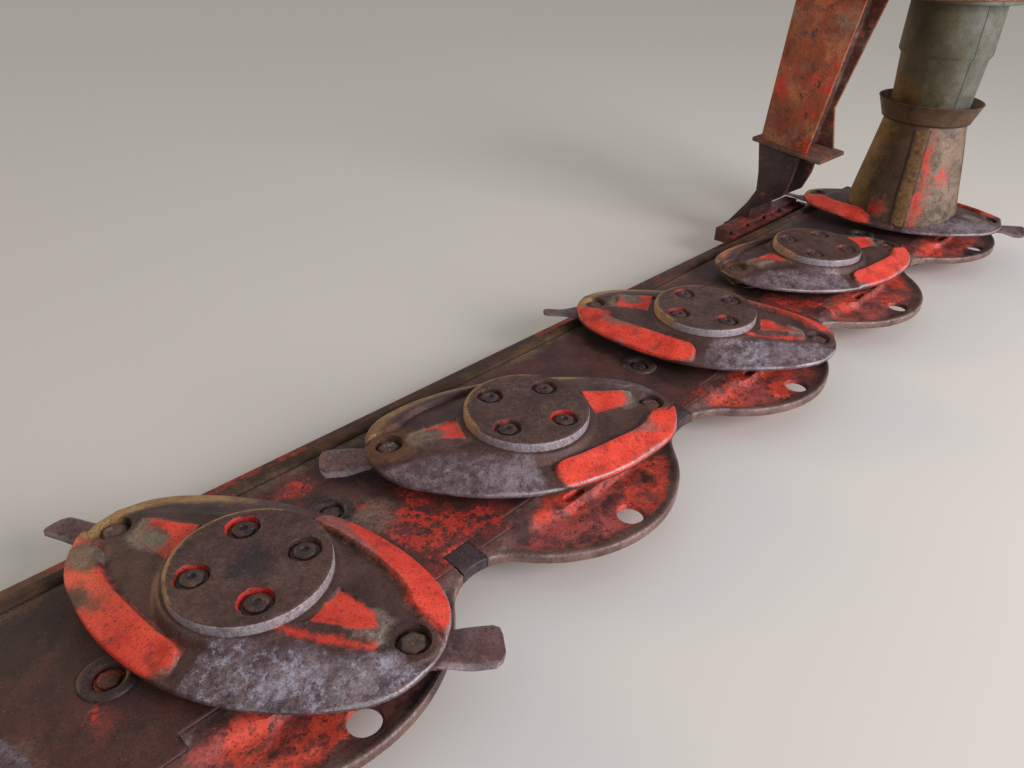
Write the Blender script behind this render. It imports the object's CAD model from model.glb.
import math
from collections import namedtuple

import bmesh
import bpy
import numpy as np
from mathutils import Matrix, Vector, noise
from mathutils.geometry import delaunay_2d_cdt


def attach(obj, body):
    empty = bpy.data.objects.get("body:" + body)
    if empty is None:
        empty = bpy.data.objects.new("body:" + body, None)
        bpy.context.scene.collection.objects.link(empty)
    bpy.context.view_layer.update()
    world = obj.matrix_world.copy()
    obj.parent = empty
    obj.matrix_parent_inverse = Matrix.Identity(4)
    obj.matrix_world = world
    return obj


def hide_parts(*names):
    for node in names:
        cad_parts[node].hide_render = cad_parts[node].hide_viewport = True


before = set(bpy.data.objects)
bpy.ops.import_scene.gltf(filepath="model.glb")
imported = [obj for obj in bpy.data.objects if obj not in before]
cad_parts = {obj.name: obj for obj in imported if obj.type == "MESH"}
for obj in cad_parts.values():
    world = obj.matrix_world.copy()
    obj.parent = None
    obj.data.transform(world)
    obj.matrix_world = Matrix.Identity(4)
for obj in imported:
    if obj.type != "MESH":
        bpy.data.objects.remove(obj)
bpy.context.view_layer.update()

MM = 0.001
scene = bpy.context.scene


# Camera
# It stands low in front of the bar, near the outer end, and looks along it towards the turret,
# so that the discs recede. The pose and the focal length were solved from the round caps.
CAMERA_AT, YAW, PITCH, ROLL, LENS = (-1.8397, -0.5549, 0.6686), 42.84, -31.8, -1.87, 28.16


def look_matrix(place, yaw, pitch, roll):
    """World matrix of a camera that looks along yaw and pitch, turned about its own axis by roll."""
    y, p = math.radians(yaw), math.radians(pitch)
    ahead = Vector((math.cos(p) * math.cos(y), math.cos(p) * math.sin(y), math.sin(p)))
    right = ahead.cross(Vector((0, 0, 1))).normalized()
    down = ahead.cross(right)
    c, s = math.cos(math.radians(roll)), math.sin(math.radians(roll))
    across, below = c * right + s * down, c * down - s * right
    turn = Matrix((across, -below, -ahead)).transposed()
    return Matrix.Translation(place) @ turn.to_4x4()


camera_data = bpy.data.cameras.new("camera")
camera_data.sensor_width = 36.0
camera_data.lens = LENS
camera_data.clip_start = 0.05
camera = bpy.data.objects.new("camera", camera_data)
scene.collection.objects.link(camera)
camera.matrix_world = look_matrix(Vector(CAMERA_AT), YAW, PITCH, ROLL)
scene.camera = camera


# Floor and light
# A pale sheet that keeps the shadow, a wide sky-like world, one broad lamp in front that stands for
# the open side, and a low warm sun behind that catches the rear rims.
def linear(hex_code):
    """An sRGB hex colour as Blender's linear numbers."""
    values = [int(hex_code[k:k + 2], 16) / 255 for k in (1, 3, 5)]
    return tuple(((v + 0.055) / 1.055) ** 2.4 if v > 0.04045 else v / 12.92 for v in values) + (1.0,)


def light(name, kind, colour, power, aim, place=(0, 0, 0), **settings):
    """A lamp at a place that shines along aim."""
    data = bpy.data.lights.new(name, kind)
    data.color = linear(colour)[:3]
    data.energy = power
    for key, value in settings.items():
        setattr(data, key, value)
    lamp = bpy.data.objects.new(name, data)
    scene.collection.objects.link(lamp)
    lamp.location = place
    lamp.rotation_euler = Vector(aim).to_track_quat("-Z", "Y").to_euler()


floor_mesh = bpy.data.meshes.new("floor")
floor_mesh.from_pydata([(-9, -9, 0), (9, -9, 0), (9, 9, 0), (-9, 9, 0)], [], [(0, 1, 2, 3)])
floor = bpy.data.objects.new("floor", floor_mesh)
scene.collection.objects.link(floor)
floor_paint = bpy.data.materials.new("floor")
floor_paint.use_nodes = True
floor_shader = floor_paint.node_tree.nodes["Principled BSDF"]
floor_shader.inputs["Base Color"].default_value = linear("#dcd7cf")
floor_shader.inputs["Roughness"].default_value = 0.9
floor_mesh.materials.append(floor_paint)

world = bpy.data.worlds.new("world")
scene.world = world
world.use_nodes = True
world.node_tree.nodes["Background"].inputs["Color"].default_value = linear("#eaf0f6")
world.node_tree.nodes["Background"].inputs["Strength"].default_value = 0.46
light("front", "AREA", "#fbf6fb", 130, (-0.6, 3.1, -1.25), (-0.5, -3.1, 1.3), shape="DISK", size=2.4)
light("low sun", "SUN", "#ffd08c", 0.9, (0.30, -0.90, -0.28), angle=math.radians(30))
scene.view_settings.view_transform = "Standard"


# Gear case tray
# A long welded steel trough with a rear flange, painted red once and now dull maroon with oil and
# dust. It is one folded plate, so its corners are round.
def add(tree, kind, values=None, links=None, **settings):
    """A node with its settings, socket values and incoming links."""
    node = tree.nodes.new(kind)
    for key, value in settings.items():
        setattr(node, key, value)
    for key, value in (values or {}).items():
        node.inputs[key].default_value = value
    for key, value in (links or {}).items():
        tree.links.new(value, node.inputs[key])
    return node


# One layer of a finish: two colours that mix, the size of its patches in mm, how ragged they are,
# how much ground they take (bias) and how soft they end. A field in mm, times gain, can place it;
# inside keeps it within an earlier coat, share is how thickly it covers, thick lifts or sinks it.
Coat = namedtuple(
    "Coat", "name dark light mm ragged bias soft field gain inside share rough metal thick mottle",
    defaults=(None, 0.1, None, 1.0, None, 0.0, 0.0, 30.0))


def weathered(name, base, coats, rough=0.6, metal=0.0, pits=0.15, mottle_mm=45.0, grime=0.55, glint=0.3,
              gloss=0.3):
    """Bare ground colour (two hex codes) with coats of paint, rust, dust or oil over it.

    A coat lies where field * gain + (grain - 0.7) * ragged + bias is above zero. Over all of them
    lie a film of grime, dark pits and pale glints."""
    material = bpy.data.materials.new(name)
    material.use_nodes = True
    tree = material.node_tree
    shader = tree.nodes["Principled BSDF"]
    shader.inputs["Specular IOR Level"].default_value = gloss
    place = add(tree, "ShaderNodeTexCoord").outputs["Object"]

    def maths(operation, values=None, links=None):
        return add(tree, "ShaderNodeMath", values, links, operation=operation).outputs[0]

    def grain(mm, detail, shift):
        start = (shift, 1.7 * shift, 0.6 * shift)
        moved = add(tree, "ShaderNodeMapping", {"Location": start}, {"Vector": place})
        return add(tree, "ShaderNodeTexNoise", {"Scale": 1000 / mm, "Detail": detail, "Roughness": 0.62},
                   {"Vector": moved.outputs[0]}).outputs["Fac"]

    def blend(share, a, b, data="RGBA"):
        node = add(tree, "ShaderNodeMix", data_type=data, clamp_factor=True)
        first, result = {"RGBA": (6, 2), "FLOAT": (2, 0)}[data]
        for socket, value in ((0, share), (first, a), (first + 1, b)):
            if isinstance(value, bpy.types.NodeSocket):
                tree.links.new(value, node.inputs[socket])
            else:
                node.inputs[socket].default_value = value
        return node.outputs[result]

    def above(value, low, high, share=1.0):
        return add(tree, "ShaderNodeMapRange", {1: low, 2: high, 3: 0.0, 4: share}, {0: value},
                   interpolation_type="SMOOTHSTEP").outputs[0]

    def two_tone(dark, light_tone, mm, shift):
        return blend(above(grain(mm, 4.0, shift), 0.32, 0.68), linear(dark), linear(light_tone))

    colour = two_tone(*base, mottle_mm, 0.0)
    speck = grain(2.0, 3.0, 3.1)
    roughness, metallic = rough, metal
    height = maths("MULTIPLY", {1: pits}, {0: speck})
    masks = {}
    for number, coat in enumerate(coats):
        shift = 0.37 * (number + 1)
        wide, fine = grain(coat.mm, 6.0, shift), grain(coat.mm / 5, 3.0, shift + 2.0)
        both = maths("MULTIPLY_ADD", {1: 0.4}, {0: fine, 2: wide})
        level = maths("MULTIPLY_ADD", {1: coat.ragged, 2: coat.bias - 0.7 * coat.ragged}, {0: both})
        if coat.field:
            field = add(tree, "ShaderNodeAttribute", attribute_name=coat.field).outputs["Fac"]
            level = maths("MULTIPLY_ADD", {1: coat.gain}, {0: field, 2: level})
        mask = above(level, -coat.soft, coat.soft, coat.share)
        if coat.inside:
            mask = maths("MULTIPLY", links={0: mask, 1: masks[coat.inside]})
        masks[coat.name] = mask
        colour = blend(mask, colour, two_tone(coat.dark, coat.light, coat.mottle, shift + 5.0))
        roughness = blend(mask, roughness, rough if coat.rough is None else coat.rough, "FLOAT")
        metallic = blend(mask, metallic, coat.metal, "FLOAT")
        if coat.thick:
            height = maths("MULTIPLY_ADD", {1: coat.thick}, {0: mask, 2: height})
    for cloud, low, high, share, tint in (
            (grain(26, 8.0, 7.7), 0.50, 0.72, grime, "#2a1f1e"),  # a film of grime
            (grain(3.0, 4.0, 9.1), 0.52, 0.66, grime, "#33211f"),  # dark specks of it
            (speck, 0.60, 0.72, glint, "#a49a97"),  # glints on what stands proud
            (grain(1.4, 2.0, 4.4), 0.58, 0.70, 0.5, "#231a1a")):  # pits
        colour = blend(above(cloud, low, high, share), colour, linear(tint))
    tree.links.new(colour, shader.inputs["Base Color"])
    for value, socket in ((roughness, "Roughness"), (metallic, "Metallic")):
        tree.links.new(value, shader.inputs[socket])
    bump = add(tree, "ShaderNodeBump", {"Strength": 1.0, "Distance": 0.001}, {"Height": height})
    tree.links.new(bump.outputs[0], shader.inputs["Normal"])
    return material


def give_fields(mesh, fields):
    """Stores each field as a vertex attribute: a list of values, or a rule on x, y, z in mm."""
    for key, field in (fields or {}).items():
        if callable(field):
            field = [field(*(c / MM for c in vert.co)) for vert in mesh.vertices]
        mesh.attributes.new(key, "FLOAT", "POINT").data.foreach_set("value", np.asarray(field, np.float32))


def finish_piece(name, mesh, material, body, nodes=(), sharp=35):
    """Makes a mesh a piece of the scene, with its finish and its place in the frame."""
    piece = bpy.data.objects.new(name, mesh)
    mesh.materials.clear()
    mesh.materials.append(material)
    mesh.shade_smooth()
    mesh.set_sharp_from_angle(angle=math.radians(sharp))
    scene.collection.objects.link(piece)
    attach(piece, body)
    if nodes:
        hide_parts(*nodes)


def softened(node, radius, material, body="bar", segments=2, fields=None):
    """A copy of a CAD node with its edges rounded, which stands for it."""
    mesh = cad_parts[node].data.copy()
    mesh.name = node + "_skin"
    form = bmesh.new()
    form.from_mesh(mesh)
    bmesh.ops.remove_doubles(form, verts=form.verts, dist=1e-5)
    bmesh.ops.dissolve_limit(form, angle_limit=math.radians(0.5), verts=form.verts, edges=form.edges)
    form.to_mesh(mesh)
    form.free()
    if "custom_normal" in mesh.attributes:
        mesh.attributes.remove(mesh.attributes["custom_normal"])
    raw = bpy.data.objects.new(node + "_raw", mesh)
    scene.collection.objects.link(raw)
    bevel = raw.modifiers.new("rounding", "BEVEL")
    bevel.width = radius * MM
    bevel.segments = segments
    bevel.limit_method = "ANGLE"
    bevel.angle_limit = math.radians(28)
    bevel.use_clamp_overlap = True
    done = bpy.data.meshes.new_from_object(raw.evaluated_get(bpy.context.evaluated_depsgraph_get()))
    bpy.data.objects.remove(raw)
    give_fields(done, fields)
    finish_piece(node + "_skin", done, material, body, [node], sharp=40)


# Enamel on folded plate: dull maroon that takes little light, with red where it is kept, wet-looking
# oil and matt dust along the length.
tray_paint = weathered("weathered enamel on folded plate", ("#4d2724", "#5e302b"), [
    Coat("red", "#9c3326", "#b53c2b", 60, 2.2, -0.16, 0.12, rough=0.55, thick=0.12),
    Coat("oil", "#241b19", "#32241f", 38, 2.4, -0.22, 0.2, rough=0.42),
    Coat("dust", "#8a7558", "#9a8562", 90, 2.0, -0.3, 0.3, share=0.7, rough=0.9),
], rough=0.58)
softened("case_tray", 3.0, tray_paint)


# Cover
# An 8 mm flat steel plate bolted on the tray. Its front edge steps back where the guards and the
# joining plates come up beside it, and round holes let the idler axles' bosses through.
def subdivide(line, step, closed):
    """Corner points with more points between them, no farther apart than step."""
    line = np.asarray(line, float)
    ends = np.roll(line, -1, axis=0) if closed else line[1:]
    out = []
    for a, b in zip(line, ends):
        parts = max(1, math.ceil(np.hypot(*(b - a)) / step))
        out += [a + (b - a) * k / parts for k in range(parts)]
    if not closed:
        out.append(line[-1])
    return np.array(out)


def distance(points, line, closed):
    """Distance of each point to a line of segments."""
    line = np.asarray(line, float)
    a = line if closed else line[:-1]
    b = np.roll(line, -1, axis=0) if closed else line[1:]
    way_x, way_y = (b - a).T
    length = np.maximum(way_x ** 2 + way_y ** 2, 1e-12)
    best = np.full(len(points), np.inf)
    for start in range(0, len(points), 2000):
        x = points[start:start + 2000, 0, None] - a[:, 0]
        y = points[start:start + 2000, 1, None] - a[:, 1]
        share = np.clip((x * way_x + y * way_y) / length, 0, 1)
        best[start:start + 2000] = ((x - share * way_x) ** 2 + (y - share * way_y) ** 2).min(1)
    return np.sqrt(best)


def inside(points, loop):
    """Whether each point lies inside a closed loop."""
    loop = np.asarray(loop, float)
    (ax, ay), (bx, by) = loop.T, np.roll(loop, -1, axis=0).T
    rise = np.where(by == ay, 1.0, by - ay)
    odd = np.zeros(len(points), bool)
    for start in range(0, len(points), 2000):
        x, y = points[start:start + 2000, 0, None], points[start:start + 2000, 1, None]
        crossed = ((ay > y) != (by > y)) & (x < (bx - ax) * (y - ay) / rise + ax)
        odd[start:start + 2000] = crossed.sum(1) % 2 == 1
    return odd


def depth_in(points, loop):
    """Signed distance to a closed loop, positive inside."""
    return np.where(inside(points, loop), 1, -1) * distance(points, loop, True)


def smooth(value):
    """0 below 0, 1 above 1, and a soft step between."""
    value = np.clip(value, 0, 1)
    return value * value * (3 - 2 * value)


def circle(x, y, radius, count=40):
    """Points round a centre."""
    angles = np.arange(count) * 2 * math.pi / count
    return np.stack([x + radius * np.cos(angles), y + radius * np.sin(angles)], 1)


def beside(way):
    """Unit normals at the points of a line, to the left of the way it runs."""
    return np.stack([-way[:, 1], way[:, 0]], 1) / np.maximum(np.hypot(way[:, 0], way[:, 1]), 1e-9)[:, None]


def plan(outline, holes=(), lines=(), step=8.0, edge_step=5.0, rings=(1.5,), line_step=3.0, flank=(1.5,),
         dense=None):
    """Triangles over an outline with holes, closer along its edges and along feature lines.

    rings and flank are how far from an edge or a line rows of points run beside it, and dense thins
    the grid between them. Gives the points, the faces and each point's distance from the edge."""
    loops = [subdivide(outline, edge_step, True)] + [subdivide(hole, edge_step, True) for hole in holes]
    drawn = [subdivide(line, line_step, False) for line in lines]

    def to_edge(points):
        far = depth_in(points, loops[0])
        for hole in loops[1:]:
            far = np.minimum(far, -depth_in(points, hole))
        return far

    fixed, edges, loose = [], [], []
    for loop in loops:
        start = len(fixed)
        fixed += list(loop)
        edges += [(start + k, start + (k + 1) % len(loop)) for k in range(len(loop))]
        normal = beside(np.roll(loop, -1, axis=0) - np.roll(loop, 1, axis=0))
        for ring in rings:
            for side in (-1, 1):
                near = loop + side * ring * normal
                loose.append(near[to_edge(near) > 0.92 * ring])
    for line in drawn:
        normal = beside(np.gradient(line, axis=0))
        for off in (0.0,) + tuple(side * far for far in flank for side in (-1, 1)):
            near = line + off * normal
            loose.append(near[to_edge(near) > 0.6])
    low, high = loops[0].min(0), loops[0].max(0)
    columns = np.arange(low[0], high[0], step)
    rows = np.arange(low[1], high[1], step * 0.866)
    grid = np.array([(x + (k % 2) * step / 2, y) for k, y in enumerate(rows) for x in columns])
    keep = to_edge(grid) > max(rings, default=0) + 0.45 * step
    for line in drawn:
        keep &= distance(grid, line, False) > max(flank, default=0) + 0.45 * step
    if dense is not None:
        keep &= dense(grid[:, 0], grid[:, 1])
    loose.append(grid[keep])
    taken, chosen = set(), []
    for point in np.concatenate([part for part in loose if len(part)]):
        cell = (round(point[0] / 0.7), round(point[1] / 0.7))
        if cell not in taken:
            taken.add(cell)
            chosen.append(point)
    points, _, faces, *_ = delaunay_2d_cdt([Vector(p) for p in fixed + chosen], edges, [], 0, 1e-5)
    points = np.array([tuple(p) for p in points])
    faces = np.array([tuple(f) for f in faces])
    faces = faces[to_edge(points[faces].mean(1)) > 0]
    a, b, c = points[faces[:, 0]], points[faces[:, 1]], points[faces[:, 2]]
    area = (b[:, 0] - a[:, 0]) * (c[:, 1] - a[:, 1]) - (b[:, 1] - a[:, 1]) * (c[:, 0] - a[:, 0])
    faces[area < 0] = faces[area < 0][:, ::-1]
    faces = faces[np.abs(area) > 1e-7]
    used = np.unique(faces)
    renumber = -np.ones(len(points), int)
    renumber[used] = np.arange(len(used))
    return points[used], renumber[faces], to_edge(points[used])


def slab(points, faces, top, low):
    """Closed solid between two heights over the same plan."""
    count = len(points)
    verts = np.concatenate([np.column_stack([points, top]), np.column_stack([points, low])])
    directed = {(int(f[k]), int(f[(k + 1) % 3])) for f in faces for k in range(3)}
    rim = [(a, b) for a, b in directed if (b, a) not in directed]
    walls = [(a + count, b + count, b, a) for a, b in sorted(rim)]
    return verts, [tuple(f) for f in faces] + [tuple(int(v) + count for v in f[::-1]) for f in faces] + walls


def build(name, verts, faces, material, body, nodes=(), fields=None, sharp=35):
    """A piece from points in millimetres, with its vertex attributes."""
    mesh = bpy.data.meshes.new(name)
    mesh.from_pydata([tuple(v) for v in np.asarray(verts) * MM], [], faces)
    give_fields(mesh, fields)
    finish_piece(name, mesh, material, body, nodes, sharp)


def rounding(edge, radius):
    """How far a rounded edge drops, by distance from it."""
    inner = np.clip(radius - edge, 0, radius)
    return radius - np.sqrt(radius ** 2 - inner ** 2)


def patches(x, y, spots):
    """Signed millimetres inside the nearest of some ovals (x, y, half length, half width)."""
    best = np.full(len(x), -60.0)
    for cx, cy, rx, ry in spots:
        best = np.maximum(best, (1 - np.hypot((x - cx) / rx, (y - cy) / ry)) * min(rx, ry))
    return best


def ripple(x, y, size, seed, height):
    """Slow hand-worn unevenness, in millimetres."""
    return height * np.array([noise.noise(Vector((a / size, b / size, seed))) for a, b in zip(x, y)])


def both_sides(fields):
    """The same fields for the upper and the lower side of a slab."""
    return {key: np.tile(value, 2) for key, value in fields.items()}


DISC_X = {1: -2013, 2: -1600, 3: -1213, 4: -800, 5: -413, 6: 0}
GAPS = [(DISC_X[n] + DISC_X[n + 1]) / 2 for n in range(1, 6)]
CASE_LEFT, CASE_RIGHT, CASE_BACK = -2163, 150, 164.8
EDGE_FRONT, EDGE_STEP = -95.5, -77
COVER_TOP, COVER_LOW = 58.0, 50.0
BOSSES = []
for n in range(1, 6):
    along, back = (139, 19) if DISC_X[n + 1] - DISC_X[n] > 400 else (134, 66)
    BOSSES += [(DISC_X[n] + along, back), (DISC_X[n + 1] - along, back)]


def step_back(middle, half):
    """Four corners where the cover's front edge steps back and comes forward again."""
    return [(middle - half, EDGE_FRONT), (middle - half, EDGE_STEP), (middle + half, EDGE_STEP),
            (middle + half, EDGE_FRONT)]


cover_edge = [(CASE_LEFT, EDGE_FRONT)]
for n, x in DISC_X.items():
    cover_edge += step_back(x, 122) + (step_back(GAPS[n - 1], 17.5) if n < 6 else [])
cover_edge += [(CASE_RIGHT, EDGE_FRONT), (CASE_RIGHT, CASE_BACK), (CASE_LEFT, CASE_BACK)]
# Where the plate keeps its red, is rubbed bare, or is oily: ovals (x, y, half length, half width).
COVER_RED = [
    (-1415, -20, 34, 46), (-1395, -45, 42, 38), (-1352, -62, 34, 26), (-1430, 45, 14, 12), (-1475, 130, 30, 20),
    (-1385, 20, 18, 30), (-1340, -88, 30, 8), (-1440, -88, 14, 8), (-570, -30, 32, 40), (-545, -62, 34, 18),
    (-590, -88, 20, 8), (-900, -86, 44, 8), (-1768, -12, 10, 12), (-2120, 40, 26, 50), (-150, -80, 34, 14),
    (60, 120, 60, 26), (118, -20, 20, 60)]
COVER_BARE = [(-1435, 30, 21, 27), (-1440, 12, 13, 16), (-1832, -20, 16, 22), (-600, 70, 14, 18)]
COVER_OIL = [
    (-1380, 120, 60, 44), (-925, 30, 30, 120), (-560, 60, 44, 60), (-160, 40, 60, 110), (-1400, -35, 16, 10),
    (-1790, 120, 60, 40), (-1415, 2, 10, 14), (-1370, -30, 12, 12)]
# Enamel on flat plate: red is left in ragged flakes with dark chips in them, between bare grey-tan
# steel, thin rust, and oil that makes the plate nearly black.
cover_paint = weathered("worn enamel on the cover plate", ("#402725", "#59352f"), [
    Coat("oil", "#271d1b", "#362523", 34, 1.9, -0.05, 0.35, field="oil", gain=0.045, share=0.85, rough=0.5),
    Coat("rust", "#5e3a2b", "#6d4430", 46, 2.4, -0.42, 0.2, share=0.8, rough=0.8),
    Coat("faded", "#6f302c", "#80362f", 36, 2.4, -0.05, 0.3, field="red", gain=0.02, share=0.85,
         rough=0.55),
    Coat("red", "#b33528", "#cf402e", 24, 2.8, -0.2, 0.14, field="red", gain=0.035, rough=0.5, thick=0.2,
         mottle=22),
    Coat("worn", "#4e3030", "#5e3936", 30, 2.8, -0.12, 0.16, inside="red", share=0.9, rough=0.62,
         thick=-0.12),
    Coat("chips", "#3c2424", "#4e2c2a", 9, 2.8, -0.15, 0.12, inside="red", rough=0.62, thick=-0.15),
    Coat("bare", "#6e5a4e", "#8a7464", 18, 2.2, 0.0, 0.5, field="bare", gain=0.035, share=0.75, rough=0.75,
         mottle=9),
    Coat("dust", "#7d6850", "#8f7a5c", 50, 1.5, -0.2, 0.4, field="rear", gain=0.03, share=0.5, rough=0.9),
], rough=0.52, pits=0.4, grime=0.7)
points, faces, edge = plan(cover_edge, [circle(x, y, 14.5, 28) for x, y in BOSSES], step=9, edge_step=9,
                           rings=(1.2, 4))
x, y = points.T
top = COVER_TOP - rounding(edge, 1.2) + ripple(x, y, 120, 3, 0.5) * smooth(edge / 12)
verts, solid = slab(points, faces, top, np.full(len(x), COVER_LOW))
build("cover", verts, solid, cover_paint, "bar", ["case_cover"], both_sides({
    "red": patches(x, y, COVER_RED), "bare": patches(x, y, COVER_BARE), "oil": patches(x, y, COVER_OIL),
    "rear": np.clip(y - 150, -30, 15)}), sharp=50)


# Rear lip
# A square bar welded along the back of the cover. Its paint is rubbed off and dust lies on it, so
# it reads as a warm brown line behind the discs.
# Dusty bar steel: matt brown with straw-coloured dust on it, the warmest and roughest surface here.
lip_steel = weathered("dusty steel bar", ("#36271d", "#493524"), [
    Coat("maroon", "#4b2c28", "#5a3530", 70, 2.4, -0.12, 0.2, rough=0.6),
    Coat("straw", "#604122", "#785530", 40, 2.2, -0.2, 0.35, share=0.75, rough=0.9),
    Coat("red", "#a83a2c", "#b94a38", 34, 2.6, -0.72, 0.08, rough=0.55),
], rough=0.75)
softened("rear_lip", 3.5, lip_steel, segments=3)


# Gear bosses
# Turned rings with a deep well, where the idler axles' bolts sit. They are greasy and nearly black,
# and one well keeps its red paint.
def revolve(profile, count=48):
    """A closed turned ring from a closed profile of (radius, height)."""
    rows = len(profile)
    verts, faces = [], []
    for k in range(count):
        angle = 2 * math.pi * k / count
        verts += [(r * math.cos(angle), r * math.sin(angle), z) for r, z in profile]
        a, b = k * rows, (k + 1) % count * rows
        faces += [(a + j, b + j, b + (j + 1) % rows, a + (j + 1) % rows) for j in range(rows)]
    return np.array(verts, float), faces


def loose_mesh(name, verts, faces):
    """A plain mesh in millimetres, scaled to metres, merged and turned outwards, on no object yet."""
    mesh = bpy.data.meshes.new(name)
    mesh.from_pydata([tuple(v) for v in np.asarray(verts) * MM], [], faces)
    form = bmesh.new()
    form.from_mesh(mesh)
    bmesh.ops.remove_doubles(form, verts=form.verts, dist=1e-6)
    bmesh.ops.recalc_face_normals(form, faces=form.faces)
    form.to_mesh(mesh)
    form.free()
    return mesh


def hex_bolt(name, across, height, washer, washer_h, dome=1.2, dimple=0.0, wear=1.0):
    """A worn bolt head on its washer: rounded corners and top, and a dimple in it."""
    count, flat, sector = 72, across / 2, math.pi / 3
    turns = [2 * math.pi * k / count for k in range(count)]

    def round_ring(r, z):
        return [(r * math.cos(t), r * math.sin(t), z) for t in turns]

    def hex_ring(scale, z, blunt, shrink=0.0):
        out = []
        for t in turns:
            part = (t + sector / 2) % sector - sector / 2
            r = (min(flat / math.cos(part), flat * blunt) - shrink) * scale
            out.append((r * math.cos(t), r * math.sin(t), z))
        return out

    blunt = 1.155 - 0.055 * wear
    rows = [round_ring(washer - 0.4, 0), round_ring(washer, 0.5), round_ring(washer, washer_h - 0.5),
            round_ring(washer - 0.6, washer_h), hex_ring(1, washer_h, blunt),
            hex_ring(1, height - dome - 0.6, blunt), hex_ring(1, height - dome, blunt, 0.4 * wear),
            hex_ring(1, height - 0.4 * dome, blunt, 1.6), hex_ring(0.8, height, 1.06, 1.0)]
    if dimple:
        rows += [hex_ring(0.42, height - 0.1, 1.02), hex_ring(0.34, height - dimple, 1.02)]
    faces = [tuple(range(count))[::-1]]
    for j in range(len(rows) - 1):
        faces += [(j * count + k, j * count + (k + 1) % count, (j + 1) * count + (k + 1) % count,
                   (j + 1) * count + k) for k in range(count)]
    faces.append(tuple((len(rows) - 1) * count + k for k in range(count)))
    return loose_mesh(name, [v for row in rows for v in row], faces)


def scatter(name, unit, places, material, body, nodes=()):
    """Geometry Nodes: the unit mesh at every place (x, y, z, turn in degrees), in millimetres."""
    points = bpy.data.meshes.new(name)
    points.from_pydata([(x * MM, y * MM, z * MM) for x, y, z, _ in places], [], [])
    turns = points.attributes.new("turn", "FLOAT_VECTOR", "POINT")
    turns.data.foreach_set("vector", [v for p in places for v in (0.0, 0.0, math.radians(p[3]))])
    carrier = bpy.data.objects.new(name + "_places", points)
    unit_object = bpy.data.objects.new(name + "_unit", unit)
    scene.collection.objects.link(carrier)
    scene.collection.objects.link(unit_object)
    tree = bpy.data.node_groups.new(name, "GeometryNodeTree")
    sockets = {key: tree.interface.new_socket(key, in_out="INPUT", socket_type=kind) for key, kind in (
        ("Places", "NodeSocketGeometry"), ("Unit", "NodeSocketObject"), ("Size", "NodeSocketFloat"),
        ("Finish", "NodeSocketMaterial"))}
    tree.interface.new_socket("Pieces", in_out="OUTPUT", socket_type="NodeSocketGeometry")
    given = add(tree, "NodeGroupInput")
    shape = add(tree, "GeometryNodeObjectInfo", links={"Object": given.outputs["Unit"]})
    turn = add(tree, "GeometryNodeInputNamedAttribute", {"Name": "turn"}, data_type="FLOAT_VECTOR")
    spin = add(tree, "FunctionNodeEulerToRotation", links={0: turn.outputs[0]})
    stand = add(tree, "GeometryNodeInstanceOnPoints", links={
        "Points": given.outputs["Places"], "Instance": shape.outputs["Geometry"], "Rotation": spin.outputs[0],
        "Scale": given.outputs["Size"]})
    real = add(tree, "GeometryNodeRealizeInstances", links={0: stand.outputs[0]})
    coat = add(tree, "GeometryNodeSetMaterial", links={"Geometry": real.outputs[0],
                                                       "Material": given.outputs["Finish"]})
    out = add(tree, "NodeGroupOutput")
    tree.links.new(coat.outputs[0], out.inputs[0])
    maker = carrier.modifiers.new("pieces", "NODES")
    maker.node_group = tree
    for key, value in (("Unit", unit_object), ("Size", 1.0), ("Finish", material)):
        maker[sockets[key].identifier] = value
    done = bpy.data.meshes.new_from_object(carrier.evaluated_get(bpy.context.evaluated_depsgraph_get()))
    if "turn" in done.attributes:
        done.attributes.remove(done.attributes["turn"])
    bpy.data.objects.remove(carrier)
    bpy.data.objects.remove(unit_object)
    finish_piece(name, done, material, body, nodes)


# Greasy turned steel: nearly black and half shiny, so the rings read by their rubbed edges.
boss_steel = weathered("greasy turned steel", ("#40302e", "#54403c"), [
    Coat("grease", "#1c1817", "#2a2220", 22, 2.2, -0.08, 0.2, rough=0.4),
    Coat("rubbed", "#7c6d69", "#8c7d78", 16, 2.4, -0.5, 0.12, rough=0.5, metal=0.4),
], rough=0.55, metal=0.2)
# Old enamel on a bolt: the only red well, which catches the eye beside the black ones.
red_remains = weathered("old red enamel on a bolt", ("#472b27", "#58352c"), [
    Coat("red", "#93372a", "#a84430", 12, 2.2, 0.1, 0.1, rough=0.5, thick=0.1),
], rough=0.6)
WELL_FLOOR = 52.8
boss_profile = [(14.5, 52.5), (17, 52.5), (26.5, 56.5), (26.5, 58.6), (25.6, 60), (23.5, 60.9), (19, 61),
                (16.5, 60.2), (15, 58.5)]
floor_profile = [(0.01, 50.4), (16, 50.4), (16, 52.6), (15.2, WELL_FLOOR), (0.01, WELL_FLOOR)]
scatter("boss_rings", loose_mesh("boss_ring", *revolve(boss_profile)), [(x, y, 0, 0) for x, y in BOSSES],
        boss_steel, "bar", ["gear_bosses"])
scatter("boss_wells", loose_mesh("boss_well", *revolve(floor_profile)), [(x, y, 0, 0) for x, y in BOSSES],
        boss_steel, "bar")
bolt_places = [(x, y, WELL_FLOOR, 17 * k) for k, (x, y) in enumerate(BOSSES)]
for name, places, finish in (("boss_bolts", bolt_places[:1] + bolt_places[2:], boss_steel),
                             ("boss_bolt_red", bolt_places[1:2], red_remains)):
    scatter(name, hex_bolt("boss_bolt", 20, 5.5, washer=13.5, washer_h=1.2, dome=1.6), places, finish, "bar")


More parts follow.
